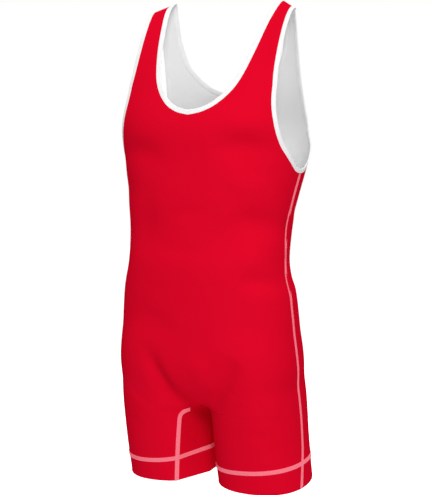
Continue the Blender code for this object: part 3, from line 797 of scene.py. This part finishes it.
def thread_material(name, colour, dark):
    """Matt polyester thread: a fine twist along Object x + y + z, and a slow fade of colour."""
    material, shader = new_material(name, 0.62)
    tree = material.node_tree
    place = node(tree, "ShaderNodeTexCoord").outputs["Object"]
    grain = node(tree, "ShaderNodeTexNoise", {"Vector": place, "Scale": 900.0, "Detail": 2.0})
    tint = node(
        tree, "ShaderNodeMix", {0: grain.outputs["Fac"], 6: (*dark, 1.0), 7: (*colour, 1.0)},
        data_type="RGBA",
    )
    bump = node(tree, "ShaderNodeBump", {"Height": grain.outputs["Fac"], "Strength": 0.4,
                                         "Distance": 0.0001})
    tree.links.new(tint.outputs[2], shader.inputs["Base Color"])
    tree.links.new(bump.outputs["Normal"], shader.inputs["Normal"])
    return material


PINK = (1.0, 0.34, 0.42)
PINK_DARK = (0.96, 0.24, 0.32)
PINK_PAD = (1.0, 0.22, 0.29)
PINK_PAD_DARK = (0.94, 0.15, 0.21)
pink_thread = thread_material("pink_thread", PINK, PINK_DARK)
pink_pad = thread_material("pink_thread_pad", PINK_PAD, PINK_PAD_DARK)


def flat_seam(name, points, normals, closed=False, lift=0.0, start=0.0):
    """A flat seam along a path on the cloth: its pad, needle rows and two looper threads."""
    line = follow(points, normals, STITCH / STEPS_A_STITCH, closed, start)
    pitch = even_pitch(line) if closed else STITCH
    half = SEAM_WIDTH / 2
    across = np.linspace(-1.0, 1.0, PAD_POINTS)
    top = lift + PAD_HEIGHT * (1.0 - across**4)
    pad = np.concatenate([
        np.stack([across * half, top], axis=-1), [(half, -PAD_SINK), (-half, -PAD_SINK)],
    ])
    height = lift + PAD_HEIGHT
    parts = [
        looper(line, half - THREAD, height, THREAD, pitch, 0.0),
        looper(line, half - THREAD, height, THREAD, pitch, 0.5),
    ]
    parts += [needle_row(line, s, height + THREAD, THREAD * THICKER, pitch) for s in NEEDLE_ROWS]
    base = carried(line, pad)
    points, quads = joined([base] + parts)
    slots = np.arange(len(quads)) >= len(base[1])
    made = make_mesh(name, points, quads, (pink_pad, pink_thread), slots)
    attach(made, "root")
    return made


def shared_edge(half, column, rows):
    """Points and normals along an edge where the two panels meet, midway between them."""
    return [
        (front[half][key][rows, column] + back[half][key][rows, column]) / 2
        for key in ("points", "normals")
    ]


marks = front["marks"]
last = 1 - len(HEM_TURN)
for half in ("left", "right"):
    side_edge = shared_edge(half, 0, slice(marks["armhole"], last))
    flat_seam(half + "_side_seam", *side_edge, start=SIDE_SEAM_START)
    leg_edge = shared_edge(half, -1, slice(marks["crotch"], last))
    flat_seam(half + "_inseam", *leg_edge, start=INSEAM_START)
for half in ("left", "right"):
    row = marks["hem"]
    round_leg = [
        np.concatenate([front[half][key][row], back[half][key][row, -2:0:-1]])
        for key in ("points", "normals")
    ]
    flat_seam(half + "_hem_seam", *round_leg, closed=True, lift=HEM_LIFT)


# Tapes. A soft white elastic tape is folded over the raw edge of the neck and of each armhole
# and sewn down with two rows of white stitching, which lie in shallow grooves. Folded, it is
# about 8 mm wide at the neck and 7 mm at the armholes, and it ripples a little.
NECK_TAPE = 0.0084
ARMHOLE_TAPE = 0.0070
TAPE_WALL = 0.0020
TAPE_LIP = 0.0004
TAPE_SLOT = (-0.0004, 0.0008)
GROOVE_HALF = 0.0007
GROOVE_DEPTH = 0.0002
FOLD_TURN = 75.0
FOLD_POINTS = 7
TAPE_STITCHES = (0.20, 0.56)
TAPE_STEP = 0.0016
TAPE_THREAD = 0.00017
CLOTH_MIDDLE = 0.00075
WHITE = (0.93, 0.93, 0.93)
WHITE_DARK = (0.80, 0.80, 0.81)
WEAVE = 0.0008


def tape_material(name):
    """Woven elastic on Object coordinates: a fine weave of two waves, sin x sin z, as bump."""
    material, shader = new_material(name, 0.75)
    tree = material.node_tree
    place = node(tree, "ShaderNodeTexCoord").outputs["Object"]
    split = node(tree, "ShaderNodeSeparateXYZ", {0: place})
    waves = [
        maths(tree, "SINE", maths(tree, "MULTIPLY", split.outputs[axis], 2 * np.pi / WEAVE))
        for axis in ("X", "Z")
    ]
    height = maths(tree, "MULTIPLY", waves[0], waves[1])
    cloud = node(tree, "ShaderNodeTexNoise", {"Vector": place, "Scale": 60.0, "Detail": 2.0})
    tint = node(
        tree, "ShaderNodeMix",
        {0: cloud.outputs["Fac"], 6: (*WHITE_DARK, 1.0), 7: (*WHITE, 1.0)}, data_type="RGBA",
    )
    bump = node(tree, "ShaderNodeBump", {"Height": height, "Strength": 0.3, "Distance": 0.0001})
    tree.links.new(tint.outputs[2], shader.inputs["Base Color"])
    tree.links.new(bump.outputs["Normal"], shader.inputs["Normal"])
    return material


def tape_section(wide):
    """The folded tape as (way into the opening, height over the middle of the cloth).

    Its outer side runs from the lip over the stitch rows, which lie in grooves, to the
    rounded fold: (width - r + r cos a, r sin a). The inner side is plain, and a slot at
    the lip holds the edge of the cloth.
    """
    high = TAPE_WALL / 2
    low_slot, high_slot = TAPE_SLOT
    outer = [(-TAPE_LIP, high_slot), (-TAPE_LIP, 0.75 * high), (0.0, high)]
    for share in TAPE_STITCHES:
        row = share * wide
        outer += [(row - GROOVE_HALF, high), (row, high - GROOVE_DEPTH), (row + GROOVE_HALF, high)]
    outer.append((0.72 * wide, high))
    turn = np.radians(np.linspace(FOLD_TURN, -FOLD_TURN, FOLD_POINTS))
    fold = np.stack([wide - high + high * np.cos(turn), high * np.sin(turn)], axis=-1)
    inner = [(0.6 * wide, -high), (0.25 * wide, -high), (0.0, -high), (-TAPE_LIP, -0.75 * high)]
    slot = [(-TAPE_LIP, low_slot), (TAPE_LIP, low_slot), (TAPE_LIP, high_slot)]
    return np.array(outer + fold.tolist() + inner + slot)


RIPPLE_COLUMNS = ("depth", "waves", "phase")
HEIGHT_RIPPLES = ((0.00009, 23, 0.4), (0.00006, 37, 1.9))
WIDTH_RIPPLES = ((0.00012, 17, 2.2), (0.00008, 41, 0.0))


def ripple(waves, turn):
    """Sum of depth * sin(waves * turn + phase) round a loop, with whole numbers of waves."""
    rows = [dict(zip(RIPPLE_COLUMNS, wave)) for wave in waves]
    return sum(row["depth"] * np.sin(row["waves"] * turn + row["phase"]) for row in rows)


def edge_tape(name, points, normals, into, wide):
    """A tape along a closed edge, on the side that the sign into gives, with its stitches."""
    line = follow(points - normals * CLOTH_MIDDLE, normals, TAPE_STEP, closed=True)
    turn = 2 * np.pi * np.arange(len(line["at"])) / len(line["at"])
    section = tape_section(wide)
    away = np.clip(section[:, 0] / wide, 0.0, 1.0)
    section = np.repeat(section[None], len(turn), axis=0)
    section[..., 0] += away * ripple(WIDTH_RIPPLES, turn)[:, None]
    section[..., 1] += away * ripple(HEIGHT_RIPPLES, turn)[:, None]
    section[..., 0] *= into
    tape = make_mesh(name, *carried(line, section[:, ::into]), (tape_cloth,))
    fine = follow(points - normals * CLOTH_MIDDLE, normals, STITCH / STEPS_A_STITCH, closed=True)
    pitch = even_pitch(fine)
    height = TAPE_WALL / 2 - TAPE_THREAD
    rows = [needle_row(fine, into * s * wide, height, TAPE_THREAD, pitch) for s in TAPE_STITCHES]
    stitches = make_mesh(name + "_stitches", *joined(rows), (white_thread,))
    return tape, stitches


def neck_edge(key):
    """Values round the neck: down and up the front, then down and up the back."""
    front_left, front_right, back_left, back_right = (
        sheet[half][key][: sheet["marks"]["neck"] + 1, -1]
        for sheet in (front, back) for half in ("left", "right")
    )
    return np.concatenate([
        (front_left[:1] + back_left[:1]) / 2, front_left[1:], front_right[-2:0:-1],
        (front_right[:1] + back_right[:1]) / 2, back_right[1:], back_left[-2:0:-1],
    ])


def armhole_edge(half, key):
    """Values round one armhole: down the front to the side seam, then up the back."""
    rows = slice(marks["armhole"] + 1)
    down = front[half][key][rows, 0]
    up = back[half][key][rows, 0][::-1]
    return np.concatenate([
        (down[:1] + up[-1:]) / 2, down[1:-1], (down[-1:] + up[:1]) / 2, up[1:-1],
    ])


tape_cloth = tape_material("white_elastic_tape")
white_thread = thread_material("white_thread", WHITE, WHITE_DARK)
neck = edge_tape("neck_tape", neck_edge("points"), neck_edge("normals"), -1, NECK_TAPE)
left, right = (
    edge_tape(half + "_armhole_tape", armhole_edge(half, "points"), armhole_edge(half, "normals"),
              into, ARMHOLE_TAPE)
    for half, into in (("left", 1), ("right", -1))
)
for (tape, stitches), cad in (
    (neck, "neck_binding"), (left, "left_armhole_binding"), (right, "right_armhole_binding")
):
    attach(tape, "root")
    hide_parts(cad)
    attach(stitches, "root")


# Floor and light. A plain white floor, glowing faintly, lies well under the garment. A wide
# soft light stands over the camera, weaker ones fill from low in front, from under the legs
# and from the back, a soft sun is overhead, and the room is white.
FLOOR = -1.30
FLOOR_HALF = 12.0
FLOOR_GLOW = 0.4
ROOM_LIGHT = 0.53
corners = np.array([(-1, -1), (1, -1), (1, 1), (-1, 1)]) * FLOOR_HALF
corners = np.column_stack([corners, np.full(4, FLOOR)])
floor_paint, shader = new_material("white_floor", 0.9)
shader.inputs["Base Color"].default_value = (0.95, 0.95, 0.95, 1.0)
shader.inputs["Emission Color"].default_value = (1.0, 1.0, 1.0, 1.0)
shader.inputs["Emission Strength"].default_value = FLOOR_GLOW
floor = make_mesh("studio_floor", corners, np.array([[0, 1, 2, 3]]), (floor_paint,))
floor.visible_diffuse = False

world = bpy.data.worlds.new("white_room")
world.use_nodes = True
tree = world.node_tree
seen = node(tree, "ShaderNodeLightPath").outputs["Is Camera Ray"]
strength = maths(tree, "MULTIPLY_ADD", seen, 1.0 - ROOM_LIGHT, ROOM_LIGHT)
tree.nodes["Background"].inputs["Color"].default_value = (1.0, 1.0, 1.0, 1.0)
tree.links.new(strength, tree.nodes["Background"].inputs["Strength"])
bpy.context.scene.world = world
bpy.context.scene.view_settings.view_transform = "Standard"

LIGHT_COLUMNS = ("name", "place", "size", "power")
LIGHTS = (
    ("key_light", (2.15, -3.40, 1.9), 1.4, 86.0),
    ("low_light", (1.9, -3.6, -0.5), 0.7, 21.0),
    ("leg_light", (0.11, 0.0, -1.28), 0.1, 0.7),
    ("back_light", (-0.9, 3.6, 1.3), 2.0, 74.0),
)
LIGHT_AIM = (0.0, 0.0, -0.40)
SUN_STRENGTH = 0.9
SUN_SPREAD = 60.0
for row in LIGHTS:
    light = dict(zip(LIGHT_COLUMNS, row))
    lamp = bpy.data.lights.new(light["name"], "AREA")
    lamp.shape = "DISK"
    lamp.size = light["size"]
    lamp.energy = light["power"]
    made = bpy.data.objects.new(light["name"], lamp)
    made.location = light["place"]
    aim = Vector(LIGHT_AIM) - Vector(light["place"])
    made.rotation_euler = aim.to_track_quat("-Z", "Y").to_euler()
    made.visible_camera = False
    bpy.context.scene.collection.objects.link(made)
high = bpy.data.lights.new("high_light", "SUN")
high.energy = SUN_STRENGTH
high.angle = np.radians(SUN_SPREAD)
bpy.context.scene.collection.objects.link(bpy.data.objects.new("high_light", high))


# Camera, fitted to the photograph's outline, neck, armholes, seams and hems. It stands to the
# wearer's left of the front and looks slightly down. Angles in degrees.
AZIMUTH = 26.044
DISTANCE = 1.9979
CAMERA_HEIGHT = -0.2877
PITCH = -3.5887
YAW = -0.1650
ROLL = 1.5058
FOCAL_PIXELS = 1154.45
IMAGE_HEIGHT = 495
SENSOR_HEIGHT = 36.0
azimuth, heading, pitch, roll = np.radians([AZIMUTH, AZIMUTH + YAW, PITCH, ROLL])
ahead = np.array([-np.sin(heading) * np.cos(pitch), np.cos(heading) * np.cos(pitch), np.sin(pitch)])
level = np.array([np.cos(heading), np.sin(heading), 0.0])
upward = np.cross(level, ahead)
rightward = np.cos(roll) * level + np.sin(roll) * upward
upward = np.cos(roll) * upward - np.sin(roll) * level
camera_data = bpy.data.cameras.new("photo_camera")
camera_data.sensor_fit = "VERTICAL"
camera_data.sensor_height = SENSOR_HEIGHT
camera_data.lens = FOCAL_PIXELS * SENSOR_HEIGHT / IMAGE_HEIGHT
camera = bpy.data.objects.new("photo_camera", camera_data)
place = (np.sin(azimuth) * DISTANCE, -np.cos(azimuth) * DISTANCE, CAMERA_HEIGHT)
matrix = Matrix(np.column_stack([rightward, upward, -ahead]).tolist()).to_4x4()
camera.matrix_world = Matrix.Translation(place) @ matrix
bpy.context.scene.collection.objects.link(camera)
bpy.context.scene.camera = camera
